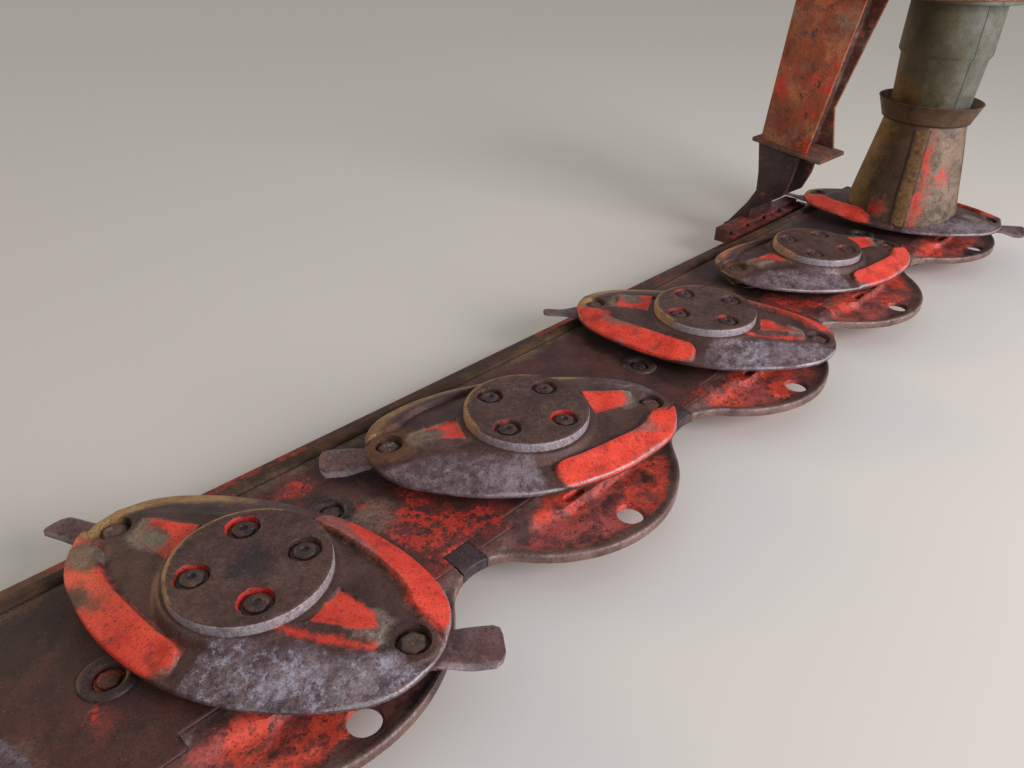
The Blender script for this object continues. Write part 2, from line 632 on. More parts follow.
# Rock guards
# Six forged plates bolted in front, one below each disc: a dished nose with a raised rim, a drain
# hole, and a flange with two slots. Stones have scoured the noses to brown; the dish keeps red.
NOSE_Y, NOSE_R, VALLEY = -22.0, 180.0, 107.0
GUARD_LOW, DISH_Z, NECK_Z, FLANGE_Z = 41.0, 50.0, 56.6, 57.8
END_HALF, TAB_HALF, TAB_BACK, NECK_BACK, LINK_SPACE = 150, 121.6, -77.4, -95.9, 18.3


def hollow_radius(half):
    """Radius of the hollow between two noses, whose middle is half a gap away."""
    drop = NOSE_Y + VALLEY
    return (half * half + drop * drop - NOSE_R ** 2) / (2 * (NOSE_R - drop))


def guard_front(x, left, right):
    """Front edge of a guard at x, from half of the gap on its left to half of the gap on its right."""
    out = []
    for v in x:
        y = NOSE_Y - math.sqrt(max(NOSE_R ** 2 - v * v, 0))
        for sign, half in ((-1, left), (1, right)):
            if half == END_HALF:
                y = max(y, -202 + (sign * v - (half - 59)) * 95 / 60)
            elif sign * v > NOSE_R * half / (NOSE_R + hollow_radius(half)):
                r = hollow_radius(half)
                y = -VALLEY - r + math.sqrt(max(r * r - (sign * v - half) ** 2, 0))
        out.append(y)
    return np.array(out)


# Enamel on forged plate: bright red in the dish, salmon where it is thin, brown steel that stones
# have scoured along the rim, and a pale line on the very edge.
guard_paint = weathered("worn enamel on a forged guard", ("#5d3733", "#7a4941"), [
    Coat("red", "#a8463e", "#c25a52", 46, 2.4, -0.1, 0.2, field="red", gain=0.025, share=0.9, rough=0.52,
         thick=0.15, mottle=36),
    Coat("bright", "#d04431", "#e65a43", 26, 2.4, 0.0, 0.14, field="bright", gain=0.045, rough=0.48,
         thick=0.1, mottle=26),
    Coat("worn", "#5a3634", "#6b413c", 34, 2.6, -0.1, 0.2, inside="red", share=0.85, rough=0.6),
    Coat("chips", "#3c2829", "#502f2c", 11, 2.8, -0.3, 0.12, inside="red", rough=0.62, thick=-0.12),
    Coat("scour", "#654b45", "#83685f", 20, 1.8, -0.1, 0.35, field="rim", gain=0.08, rough=0.55, metal=0.1),
    Coat("edge", "#8d8280", "#a59b98", 14, 2.2, -0.3, 0.4, field="brink", gain=0.4, share=0.55, rough=0.4,
         metal=0.3),
    Coat("oil", "#2a2120", "#3a2c2a", 26, 2.2, -0.12, 0.3, field="oil", gain=0.06, share=0.75, rough=0.45),
], rough=0.56, pits=0.4)
# Where a guard keeps salmon, bright red or oil, in its own frame: (x, y, half length, half width).
GUARD_RED = {
    1: [(0, -130, 120, 50)], 2: [(-60, -135, 70, 46), (40, -120, 60, 30)], 3: [(-10, -140, 130, 50)],
    4: [(-90, -135, 80, 48), (50, -140, 90, 40)], 5: [(-10, -130, 150, 44)], 6: [(-70, -120, 110, 44)],
}
GUARD_BRIGHT = {
    1: [(0, -100, 70, 16), (40, -150, 40, 22)],
    2: [(-82, -118, 22, 20), (-40, -150, 48, 26), (60, -100, 40, 14)],
    3: [(-15, -102, 62, 17), (42, -165, 42, 26), (95, -140, 26, 20), (-70, -100, 22, 12), (60, -130, 30, 12)],
    4: [(-125, -128, 38, 22), (-80, -108, 30, 18), (-50, -106, 30, 14), (-20, -158, 30, 18), (30, -120, 50, 30)],
    5: [(-60, -97, 70, 19), (110, -120, 40, 30), (20, -150, 30, 14), (-110, -92, 20, 10)],
    6: [(-110, -112, 44, 26), (-60, -96, 50, 16), (10, -140, 60, 24)],
}
GUARD_OIL = {
    1: [(-20, -180, 30, 12)],
    2: [(62, -186, 50, 10), (24, -160, 14, 12), (-95, -90, 20, 12), (-66, -142, 30, 12), (-20, -128, 24, 7)],
    3: [(-118, -106, 22, 12), (2, -140, 34, 9), (-62, -158, 34, 9), (66, -148, 12, 14)],
    4: [(-95, -92, 24, 12), (80, -170, 30, 16)], 5: [(-20, -176, 40, 14)], 6: [(-20, -170, 40, 20)],
}
drain, casting_mark, slot_y = circle(0, -170, 16, 36), circle(-50, -172, 10, 24), -108
slots = [subdivide(np.concatenate([circle(x + 10, slot_y, 5, 16)[[13, 14, 15, 0, 1, 2, 3]],
                                   circle(x - 10, slot_y, 5, 16)[4:13]]), 3, True) for x in (-31, 31)]
flange = subdivide([(-74, -77.8), (-74, -106), (-70, -113), (-62, -118.5), (62, -118.5), (70, -113), (74, -106),
                    (74, -77.8)], 4, False)
flange_loop = np.concatenate([flange, [[74, -70], [-74, -70]]])
for n, x0 in DISC_X.items():
    left = END_HALF if n == 1 else x0 - GAPS[n - 2]
    right = END_HALF if n == 6 else GAPS[n - 1] - x0
    low_x, high_x = -left + (0 if n == 1 else LINK_SPACE), right - (0 if n == 6 else LINK_SPACE)
    along = np.linspace(low_x, high_x, 90)
    front_edge = list(zip(along, guard_front(along, left, right)))
    outline = front_edge + [(high_x, NECK_BACK), (TAB_HALF, NECK_BACK), (TAB_HALF, TAB_BACK),
                            (-TAB_HALF, TAB_BACK), (-TAB_HALF, NECK_BACK), (low_x, NECK_BACK)]
    points, faces, edge = plan(outline, slots + [drain], [flange, casting_mark], step=6, edge_step=4,
                               rings=(1.2, 2.6, 5, 8))
    x, y = points.T
    front = distance(points, np.array(front_edge), False)
    nose = smooth((-y - 96) / 14)
    # The dish, its raised rim, the neck that comes up to the cover, and the flange with the slots.
    height = DISH_Z - 2.6 * smooth((front - 9) / 10) * nose + 3.0 * smooth((9 - front) / 5) * nose
    height += (NECK_Z - height) * smooth((y + 118) / 20)
    height += (FLANGE_Z - height) * smooth((depth_in(points, flange_loop) + 2.6) / 4)
    height += (ripple(x + x0, y, 55, 5 + n, 0.8) + ripple(x + x0, y, 16, 9, 0.25)) * smooth(edge / 10) * nose
    height -= 1.8 * smooth((10.5 - np.hypot(x + 50, y + 172)) / 1.5)
    height -= np.where(y < -100, rounding(edge, 1.6), rounding(edge, 0.5))
    verts, solid = slab(points, faces, height, np.full(len(x), GUARD_LOW))
    verts[:, 0] += x0
    bare_rim = 14 * smooth((12 - front) / 6)
    fields = both_sides({"red": patches(x, y, GUARD_RED[n]) - bare_rim,
                         "bright": patches(x, y, GUARD_BRIGHT[n]) - bare_rim,
                         "rim": np.clip(14 - front, -20, 12) * nose, "oil": patches(x, y, GUARD_OIL[n])})
    fields["brink"] = np.concatenate([np.clip(1.1 - front, -4, 1.1) * nose, np.full(len(x), -4.0)])
    build("guard_%d" % n, verts, solid, guard_paint, "bar", ["rock_guards"], fields, sharp=50)


# Joining plates, shoes and end plates
# Plain cut steel: oily joining plates between the guards, ground-scoured skid shoes below, a red
# runner at the outer end and a red plate at the inner end.
# Oily cut plate: blue-black, so a joining plate stands out between two red guards.
oily_plate = weathered("oily cut plate", ("#3a2b2d", "#4f3d3f"), [
    Coat("red", "#7a302a", "#8e382e", 26, 2.2, -0.45, 0.12, rough=0.6),
    Coat("oil", "#1f1918", "#2c2321", 30, 2.2, -0.15, 0.3, rough=0.42),
], rough=0.55)
# Ground-scoured steel: bright streaks over rust, since the shoes slide on the soil.
scoured = weathered("ground-scoured steel", ("#6e6460", "#857b76"), [
    Coat("rust", "#5e4336", "#73503d", 40, 2.4, -0.05, 0.25, rough=0.75),
    Coat("bright", "#a09a96", "#b3adaa", 26, 2.6, -0.35, 0.2, rough=0.35, metal=0.7),
], rough=0.5, metal=0.4, pits=0.25)
# Enamel on a cut plate: an even red with mud and bare scrapes, cleaner than the guards.
runner_paint = weathered("enamel on a cut plate", ("#a83428", "#bd3f30"), [
    Coat("worn", "#4f3330", "#66423c", 34, 2.4, -0.1, 0.12, rough=0.6, thick=-0.15),
    Coat("mud", "#71604b", "#857257", 60, 2.2, -0.3, 0.25, rough=0.9),
], rough=0.5)
LINK_HALF, LINK_REAR = 17.2, -77.8
for number, gap in enumerate(GAPS, 1):
    r = hollow_radius(gap - DISC_X[number])
    outline = [(v, -VALLEY - r + math.sqrt(r ** 2 - v * v)) for v in np.linspace(-LINK_HALF, LINK_HALF, 12)]
    points, faces, edge = plan(outline + [(LINK_HALF, LINK_REAR), (-LINK_HALF, LINK_REAR)], step=5, edge_step=3,
                               rings=(0.6, 1.4, 2.4))
    x, y = points.T
    height = 50.3 + 7.4 * smooth((y + 118) / 20) - rounding(edge, 0.8) + ripple(x + gap, y, 20, 8, 0.3)
    verts, solid = slab(points, faces, height, np.where(y < -92, GUARD_LOW, 49.2))
    verts[:, 0] += gap
    build("guard_link_%d" % number, verts, solid, oily_plate, "bar", ["guard_links"])
softened("skid_shoes", 2.0, scoured)
softened("outer_shoe", 1.6, runner_paint)
softened("inner_end_plate", 1.2, runner_paint)
softened("pedestals", 1.5, boss_steel)


# Discs
# Six pressed oval plates, 5 mm thick. Each has a flat seat for its cap, two raised crescents that run
# from a knife bolt round to the middle of a side, and two wedge-shaped lifters. Paint is left on the
# crescents and the lifters; the skirts are worn to purple-grey steel.
OVAL_A, OVAL_B, OVAL_END = 203.0, 122.0, 90.0
SIDE_R = ((OVAL_A - OVAL_END) ** 2 + OVAL_B ** 2 - OVAL_END ** 2) / (2 * (OVAL_B - OVAL_END))
BOLT_AT, WELL_Z, SEAT_Z, DISC_THICK, BARE = 175.0, 84.0, 105.0, 5.0, -20.0


def oval_outline():
    """The disc's edge: two small arcs at the ends, joined by two wide ones."""
    join = SIDE_R * (OVAL_A - OVAL_END) / (SIDE_R - OVAL_END)
    turn = math.acos((join - (OVAL_A - OVAL_END)) / OVAL_END)
    quarter = [(OVAL_A - OVAL_END + OVAL_END * math.cos(t), OVAL_END * math.sin(t))
               for t in np.linspace(0, turn, 26)]
    quarter += [(x, OVAL_B - SIDE_R + math.sqrt(SIDE_R ** 2 - x * x)) for x in np.linspace(join, 0, 30)[1:]]
    half = quarter + [(-x, y) for x, y in quarter[::-1][1:]]
    return np.array(half + [(x, -y) for x, y in half[::-1][1:-1]])


def cut_corners(line, times=2):
    """A drawn line with its corners cut again and again, until it is smooth."""
    line = np.array(line, float)
    for _ in range(times):
        a, b = line[:-1], line[1:]
        line = np.concatenate([[line[0]], np.stack([0.75 * a + 0.25 * b, 0.25 * a + 0.75 * b], 1).reshape(-1, 2),
                               [line[-1]]])
    return line


def fold(x, y):
    """Points brought to the half with x above 0; the other half is the same, turned by 180 degrees."""
    return np.stack([np.where(x < 0, -x, x), np.where(x < 0, -y, y)], 1)


# Lines of the pressing, drawn on one half: the crescent's inner edge, the wedge's painted facet, the
# wedge's crest and the edge of its lip, and the ridge above the skirt.
crescent_edge = cut_corners([(22, 142), (8, 124), (1, 112), (1, 101), (6, 93), (18, 89), (35, 86.5), (60, 80),
                             (85, 72.5), (110, 64), (132, 54), (148, 42), (158, 30), (172, 26), (188, 24),
                             (200, 12), (225, 6)])
crescent_loop = np.concatenate([crescent_edge, [[225, 160], [22, 160]]])
facet = np.array([(88, 18), (120, 12), (146, 5), (150, -16), (118, -22.8), (86, -30)], float)
crest_line = np.array([(60, -35.9), (86, -30), (118, -22.8), (150, -15.5)], float)
lip_line = np.array([(60, -43), (86, -39.5), (110, -35), (152, -23)], float)
ridge_line = cut_corners([(-4, -80), (22, -75), (45, -68), (100, -52), (150, -37), (172, -24), (180, -26)])
ridge_loop = np.concatenate([ridge_line, [[260, -26], [260, -190], [-4, -190]]])


def dome(x, y, top, along, across):
    """Height of a domed sheet that falls off along x and across it."""
    return top - x ** 2 / along - y ** 2 / across


def disc_form(x, y, lifter):
    """Height of the disc's upper side over the ground, in its own frame, and how far each point is
    inside the crescent, below the ridge, from the bolt and on the facet."""
    both = fold(x, y)
    px, py = both.T
    crown = dome(px, py, 108, 2212, 540)
    crescent = depth_in(both, crescent_loop)
    height = crown + (dome(px, py, 119.5, 1552, 404) - crown) * smooth((crescent + 1.5) / 4.2)
    roll = 1.5 * np.exp(-((crescent - 7) / 5) ** 2) - 0.9 * np.exp(-((crescent + 3.6) / 3) ** 2)
    height += roll * smooth((114 - py) / 18)
    skirt = depth_in(both, ridge_loop)
    height += 1.1 * np.exp(-(skirt / 5) ** 2) * smooth(px / 30)
    bolt = np.hypot(px - BOLT_AT, py)
    height += (94.8 - 0.09 * (px - BOLT_AT) - height) * smooth((27.5 - bolt) / 4.5)
    on_facet = np.full(len(x), -60.0)
    if lifter:
        low_y = 18 - 13 * (px - 88) / 57
        crest_y = -30 + 14 * (px - 86) / 62
        share = (low_y - py) / (low_y - crest_y)
        on_facet = depth_in(both, facet)
        plane = 99 + 8.5 * share - 3 * smooth((px - 134) / 16)
        height += (plane - height) * smooth((on_facet + 1.3) / 2.4)
        crest = np.interp(px, [56, 66, 84, 100, 140, 151, 158], [90, 103.5, 107.2, 107.6, 107.2, 104.2, 92])
        fall = crest_y - py
        on_lip = (fall > -0.5) & (px > 56) & (px < 158) & (fall < 16)
        height = np.where(on_lip, np.maximum(height, crest - 0.72 * fall), height)
    height += (SEAT_Z - height) * smooth((91 - np.hypot(x, y)) / 9)
    height += (WELL_Z - height) * smooth((17.6 - bolt) / 1.9)
    return height, crown, crescent, skirt, bolt, on_facet


# Pressed steel: red enamel only on the crescents and the wedges, salmon where it is thin, and a
# purple-grey skirt with grey haze and bluish flakes, straw-coloured along the rims at the back.
disc_steel = weathered("pressed steel, worn to bare metal round patches of enamel", ("#422c28", "#5e423b"), [
    Coat("rust", "#5d3d2c", "#6f4a33", 24, 2.0, -0.1, 0.25, field="rust", gain=0.06, share=0.85, rough=0.8),
    Coat("skirt", "#624d50", "#7f6c70", 20, 1.8, 0.0, 0.5, field="skirt", gain=0.05, rough=0.5, metal=0.25,
         mottle=14),
    Coat("streak", "#432b2b", "#543c3d", 5, 2.8, -0.05, 0.3, inside="skirt", share=0.7, rough=0.5,
         metal=0.2),
    Coat("haze", "#928286", "#ae9fa3", 11, 2.6, -0.35, 0.4, field="haze", gain=0.03, inside="skirt",
         share=0.6, rough=0.45, metal=0.2, mottle=7),
    Coat("flakes", "#aaa6b6", "#c2bfcb", 8, 2.8, -0.62, 0.2, field="flake", gain=0.025, inside="skirt",
         share=0.65, rough=0.42, metal=0.3, mottle=5),
    Coat("grey", "#77685b", "#8d7e70", 14, 1.4, 0.0, 0.35, field="grey", gain=0.07, share=0.9, rough=0.55,
         metal=0.15),
    Coat("salmon", "#9a5046", "#b0665a", 14, 1.8, 0.0, 0.35, field="salmon", gain=0.07, share=0.9,
         rough=0.62, thick=0.12, mottle=20),
    Coat("red", "#d73a27", "#f2503a", 13, 1.1, 0.0, 0.3, field="red", gain=0.075, rough=0.44, thick=0.22,
         mottle=34),
    Coat("scars", "#7a2f26", "#8c3b30", 7, 2.8, -0.5, 0.14, inside="red", rough=0.6, thick=-0.15),
    Coat("straw", "#a27a48", "#c39c66", 14, 0.9, -0.5, 0.4, field="rear", gain=1.0, share=0.85, rough=0.6),
    Coat("polish", "#8e8788", "#a9a2a3", 12, 1.6, -0.3, 0.5, field="polish", gain=0.5, share=0.7, rough=0.4,
         metal=0.4),
], rough=0.5, metal=0.15, pits=0.42)
# One row a disc: the direction of its long axis, its hand, and where its finish differs on each half
# (chalk takes the crescent's red, lip leaves a red line below the wedge). Spots are ovals in the
# disc's own frame: paint that is left, gone or faded, grey facets and rust.
DISC_LOOK = {
    1: dict(axis=158, hand=-1, chalk=(0.5, 0.5), lip=(1, 1), flake=0.0, red=[], gone=[], fade=[],
            grey=[(-122, -6, 20, 16)], rust=[]),
    2: dict(axis=111, hand=1, chalk=(0.0, 1.0), lip=(0, 1), flake=14.0,
            red=[(-172, -44, 24, 12), (-192, -30, 14, 8)], fade=[(4, -106, 40, 15)],
            gone=[(165, 44, 30, 18), (124, 2, 26, 15), (142, 84, 34, 9)],
            grey=[(168, 44, 22, 15), (124, 4, 24, 15)], rust=[]),
    3: dict(axis=152, hand=-1, chalk=(1.9, 0.0), lip=(0, 0), flake=0.0, red=[(-186, -24, 16, 6)],
            gone=[(128, -6, 22, 18), (170, 60, 30, 20)], fade=[(-118, 4, 13, 12), (-160, -62, 30, 12)],
            grey=[(128, -8, 19, 15), (-150, 8, 9, 10)], rust=[(172, 0, 38, 38), (-176, -6, 16, 14)]),
    4: dict(axis=117, hand=1, chalk=(0.0, 0.7), lip=(0, 1), flake=12.0, red=[(165, 34, 20, 10)],
            gone=[(-128, -12, 20, 12), (-150, 40, 20, 14), (118, -14, 20, 14)], fade=[(120, 60, 50, 12)],
            grey=[(122, -12, 18, 10)], rust=[(174, 2, 20, 20)]),
    5: dict(axis=156, hand=-1, chalk=(1.6, 0.1), lip=(0, 0), flake=0.0, red=[], gone=[(122, -8, 20, 14)],
            fade=[(-120, 0, 12, 10)], grey=[(124, -8, 18, 14)], rust=[(172, 0, 28, 28)]),
    6: dict(axis=108, hand=1, chalk=(0.0, 0.4), lip=(0, 0), flake=6.0, red=[(175, 30, 26, 12)],
            gone=[(18, 104, 40, 34)], fade=[], grey=[(-150, 20, 26, 14)], rust=[]),
}


def turned_by(degrees, x, y):
    """x and y after a turn about the origin."""
    c, s = math.cos(math.radians(degrees)), math.sin(math.radians(degrees))
    return x * c - y * s, x * s + y * c


def backwards(x, y):
    """How far a direction points to the back, away from the crop: 1 is straight back, -1 is front."""
    return 0.97 * y - 0.24 * x


def closed(loops):
    """Loops whose last point is their first one again."""
    return [np.vstack([loop, loop[:1]]) for loop in loops]


def off_hub(gx, gy):
    """Every grid point outside the hub, and one column in six inside it."""
    return (np.hypot(gx, gy) > 74) | (np.round(gx / 2.1) % 6 == 0)


outline = oval_outline()
disc_plans = {}
for has_lifters in (True, False):
    # The feature lines of one half, then of both, then the seat's edge; what lies outside is cut off.
    wells = [circle(BOLT_AT, 0, r, count)
             for r, count in ((27, 44), (22.5, 44), (17.6, 44), (16.4, 40), (15.6, 40))]
    lines = [crescent_edge[crescent_edge[:, 1] < 118]] + closed(wells) + [ridge_line[2:-2]]
    if has_lifters:
        lines += closed([facet]) + [crest_line, lip_line]
    lines += [-line for line in lines]
    lines += closed([circle(0, 0, r, 96) for r in (88.5, 85.5, 82.5)])
    lines = [line[depth_in(line, outline) > 1.5] for line in lines]
    disc_plans[has_lifters] = plan(outline, step=4.2, edge_step=3.0, rings=(0.5, 1.2, 2.2, 4.5), line_step=2.6,
                                   flank=(1.3, 2.8), lines=lines, dense=off_hub)

for n, look in DISC_LOOK.items():
    has_lifters = n < 6
    points, faces, edge = disc_plans[has_lifters]
    x, y = points.T
    height, crown, crescent, skirt, bolt, on_facet = disc_form(x, y, has_lifters)
    radius = np.hypot(x, y)
    dents = ripple(x, y, 60, 11 + n, 0.7) + ripple(x, y, 17, 30 + n, 0.18)
    height += dents * smooth((radius - 90) / 12) * smooth((bolt - 19) / 5)
    # The lower side: level with the crown, thicker at the wells and where the hub sits.
    low = crown - DISC_THICK
    low += (79 - low) * smooth((26 - bolt) / 1.5)
    low = np.where(radius < 58, np.minimum(low, 89 + 12 * smooth((radius - 56) / 1.5)), low)
    height = np.maximum(height - rounding(edge, 2.2), low + 1.6)
    verts, solid = slab(points, faces, height, low)

    # Which way the edge faces: front rims are scraped, rear rims keep straw-coloured dust.
    out_x, out_y = x / OVAL_A ** 2, y * look["hand"] / OVAL_B ** 2
    length = np.maximum(np.hypot(out_x, out_y), 1e-9)
    out_x, out_y = turned_by(look["axis"], out_x / length, out_y / length)
    facing = backwards(out_x, out_y)
    front_rim = smooth((-facing - 0.1) / 0.5)
    rear = smooth((out_y + 0.05 * out_x - 0.5) / 0.35) * smooth((30 - edge) / 20)
    rear *= np.where(crescent > 1, 0.6, 1.0)

    # Where the enamel is left: on the crescents, the facets and a line below each wedge.
    half = np.where(x < 0, 1, 0)
    chalk, lip = np.array(look["chalk"])[half], np.array(look["lip"])[half]
    scuff = np.array([noise.noise(Vector((a / 38, b / 38, 3.0 * n))) for a, b in points])
    chalked = 30 * np.clip(chalk - 1, 0, 1) + 13 * np.minimum(chalk, 1) * smooth(
        (70 - np.abs(np.abs(x) - 10)) / 60 + 0.55)
    rim_wear = (6 + 22 * np.maximum(scuff, -0.2)) * smooth((14 - edge) / 12)
    red = np.maximum(crescent - 1.5 - rim_wear - chalked, -60)
    salmon = np.minimum(crescent - 0.5, edge - 1.0) - 22 * np.clip(chalk - 1, 0, 1)
    if has_lifters:
        below_lip = distance(fold(x, y), lip_line + np.array([0, -1.5]), False)
        worn_end = 137 + 4 * np.sin(y / 5.0)
        red = np.maximum(red, 2.6 * np.minimum(on_facet - 0.8, worn_end - np.abs(x)))
        red = np.maximum(red, np.minimum(2.4 - below_lip, 150 - np.abs(x)) - 9 * (1 - lip))
        salmon = np.maximum(salmon, 2.6 * np.minimum(on_facet - 0.4, worn_end + 4 - np.abs(x)))
    faded, gone = patches(x, y, look["fade"]), patches(x, y, look["gone"])
    red = np.maximum(red, patches(x, y, look["red"])) - np.where(faded > -8, faded + 9, 0)
    red = np.minimum(red, np.where(gone > -12, -gone, 60))
    salmon = np.minimum(salmon, np.where(gone > -10, 4 - gone, 60))

    # What the bare steel shows.
    skirt_wear = np.minimum(np.minimum(skirt, 20), (bolt - 22) * 0.8) - 26 * smooth((facing + 0.1) / 0.5)
    skirt_wear -= 34 * smooth((34 - np.abs(x)) / 34) * smooth((60 - edge) / 30)
    grey_edge = np.where(np.abs(x) > 126, 4.5 - np.abs(on_facet + 0.5), -60)
    fields = {
        "red": red, "salmon": salmon, "skirt": skirt_wear, "rear": rear, "rust": patches(x, y, look["rust"]),
        "haze": 20 * np.exp(-((edge - 22) / 18) ** 2) * front_rim + 12 * scuff,
        "flake": look["flake"] + ripple(x, y, 55, 70 + n, 22) - 14 * smooth(x / 90),
        "grey": np.maximum(patches(x, y, look["grey"]), grey_edge),
        "polish": np.clip(2.2 - edge, -3, 2.2) - 2.4 * (1 - front_rim) + 3 * scuff}

    # The hub's stub below, which is as bare as the lower side, where only skirt and rust go on.
    stub, stub_faces = revolve([(0.01, 62), (22, 62), (22, 90), (0.01, 90)], 40)
    for key, value in fields.items():
        lower = value if key in ("skirt", "rust") else np.minimum(value, BARE)
        fields[key] = np.concatenate([value, lower, np.full(len(stub), BARE)])
    solid += [tuple(v + len(verts) for v in f) for f in stub_faces]
    verts = np.concatenate([verts, stub])
    x, y = turned_by(look["axis"], verts[:, 0], verts[:, 1] * look["hand"])
    verts = np.column_stack([x + DISC_X[n], y, verts[:, 2]])
    if look["hand"] < 0:
        solid = [f[::-1] for f in solid]
    build("disc_%d_pressing" % n, verts, solid, disc_steel, "rotor_%d" % n, ["disc_%d" % n],
          fields, sharp=42)


# Caps
# Turned plates, 13 mm thick, that clamp a disc on its hub with four bolts in deep round wells. The
# top is brown and oily with a black middle, the wall is rubbed bright, and wells keep some red.
# Turned steel: a brown oily top with fine rust and flecks, and a pale rubbed wall round it that
# makes the cap's edge the brightest ring on a disc.
cap_steel = weathered("oily turned steel cap", ("#482f2b", "#61443c"), [
    Coat("sheen", "#5e443f", "#6f524a", 34, 2.2, -0.1, 0.35, rough=0.5, metal=0.15),
    Coat("rust", "#3a2421", "#4a2f29", 7, 2.8, -0.08, 0.3, share=0.7, rough=0.7),
    Coat("flecks", "#7a635c", "#8c756d", 4, 2.6, -0.4, 0.3, share=0.6, rough=0.5),
    Coat("black", "#271f22", "#33292b", 13, 2.4, -0.15, 0.35, field="middle", gain=0.03, share=0.85,
         rough=0.45),
    Coat("wall", "#93878a", "#aba0a2", 8, 0.8, -0.05, 0.3, field="wall", gain=0.6, rough=0.5, metal=0.2,
         mottle=5),
    Coat("straw", "#957047", "#b48e5f", 14, 0.9, -0.5, 0.3, field="rear", gain=1.0, share=0.8, rough=0.75),
    Coat("wall grain", "#6d6260", "#7e7370", 3.4, 2.4, -0.2, 0.3, inside="wall", share=0.7),
    Coat("red", "#b5302a", "#cf3a2c", 9, 1.6, 0.0, 0.12, field="red", gain=0.12, rough=0.5, thick=0.1),
], rough=0.5, metal=0.15, gloss=0.35, pits=0.36)
# Greasy bolt steel: dark heads with rust, a little bright on the corners.
cap_bolt_steel = weathered("greasy bolt head", ("#3b3031", "#4d4040"), [
    Coat("rust", "#5b3a30", "#6d483a", 12, 2.0, -0.1, 0.2, rough=0.75),
    Coat("rubbed", "#857b79", "#958b88", 8, 2.2, -0.45, 0.15, rough=0.4, metal=0.5),
], rough=0.5, metal=0.2)
# How much red each of a cap's four wells keeps, and how far from the middle its top is black.
WELL_RED = {1: [0, 0, 6, 0], 2: [5, 9, 0, 8], 3: [3, 9, 0, 0], 4: [7, 4, 0, 5], 5: [5, 6, 2, 0]}
MIDDLE_BLACK = {1: 10, 2: 26, 3: 2, 4: 6, 5: 2}
CAP_R, CAP_TOP, CAP_LOW = 79.0, 118.0, 105.0
WELL_AT, WELL_R, WELL_DEEP = 52.0, 16.5, 8.0
for n in range(1, 6):
    wells = [turned_by(DISC_LOOK[n]["axis"] + 45 + 90 * k, WELL_AT, 0) for k in range(4)]
    rims = [circle(cx, cy, r, 40) for cx, cy in wells for r in (WELL_R + 0.9, WELL_R, WELL_R - 0.7)]
    points, faces, edge = plan(circle(0, 0, CAP_R, 132), step=5.5, edge_step=4, rings=(0.35, 1.0, 2.0, 3.2, 4.8),
                               line_step=2.6, flank=(), lines=closed(rims))
    x, y = points.T
    well = np.min([np.hypot(x - cx, y - cy) for cx, cy in wells], axis=0)
    worn = 0.9 + 0.4 * np.array([noise.noise(Vector((a / 30, b / 30, n))) for a, b in points])
    height = CAP_TOP - 0.55 * rounding(edge, 4.6) * worn - 1.8 * smooth((1.2 - edge) / 1.2)
    height += ripple(x, y, 34, 50 + n, 0.5) * smooth(edge / 12)
    height -= 1.4 * smooth((15 - np.hypot(x, y)) / 5)
    height -= 0.7 * smooth((WELL_R + 2.2 - well) / 2.0)
    height += (CAP_TOP - WELL_DEEP - height) * smooth((WELL_R + 0.3 - well) / 0.8)
    verts, solid = slab(points, faces, height, np.full(len(x), CAP_LOW))

    x, y, z = verts.T
    radius = np.hypot(x, y)
    wall = np.where(radius > 73, CAP_TOP - z - 2.6, -6) + 5 * smooth((radius - 77.5) / 1.5) - 1.5
    facing = backwards(x, y) / np.maximum(radius, 1)
    rear = smooth((facing - 0.1) / 0.5) * smooth((radius - 72) / 6) * 1.4
    near = np.argmin([np.hypot(x - cx, y - cy) for cx, cy in wells], axis=0)
    centre_x, centre_y = np.array(wells)[near].T
    strength = np.array(WELL_RED[n])[near]
    off_rim = np.abs(np.hypot(x - centre_x, y - centre_y) - WELL_R + 0.8)
    red = 2.2 - off_rim * 1.9 - 12 * smooth((centre_y - y + 2) / 11) + 0.4 * (strength - 6)
    fields = {"middle": MIDDLE_BLACK[n] - radius, "wall": wall, "rear": rear,
              "red": np.where(strength > 0, red, -40)}
    build("cap_%d_plate" % n, np.column_stack([x + DISC_X[n], y, z]), solid, cap_steel, "rotor_%d" % n,
          ["cap_%d" % n], fields, sharp=38)
    head = hex_bolt("cap_bolt", 21.5, 7.0, washer=14.6, washer_h=2.6, dome=1.4, dimple=2.2, wear=1.6)
    places = [(cx + DISC_X[n], cy, CAP_TOP - WELL_DEEP, 31 * k + 13 * n) for k, (cx, cy) in enumerate(wells)]
    scatter("cap_bolts_%d" % n, head, places, cap_bolt_steel, "rotor_%d" % n)


# Knife bolts and knives
# A hexagon head sits in each well with its nut below. The knives are short blades, ground along both
# long edges and twisted by 14 degrees along their outer part; they hang free on the bolts.
# Worn bolt steel: warmer and brighter than the cap's bolts, as crop rubs them all the time.
bolt_steel = weathered("worn bolt head", ("#54443f", "#6a5750"), [
    Coat("rust", "#5f3a2c", "#744a38", 14, 2.2, -0.1, 0.2, rough=0.75),
    Coat("rubbed", "#8d8480", "#a39b97", 7, 2.2, -0.3, 0.15, rough=0.4, metal=0.5),
], rough=0.5, metal=0.3)
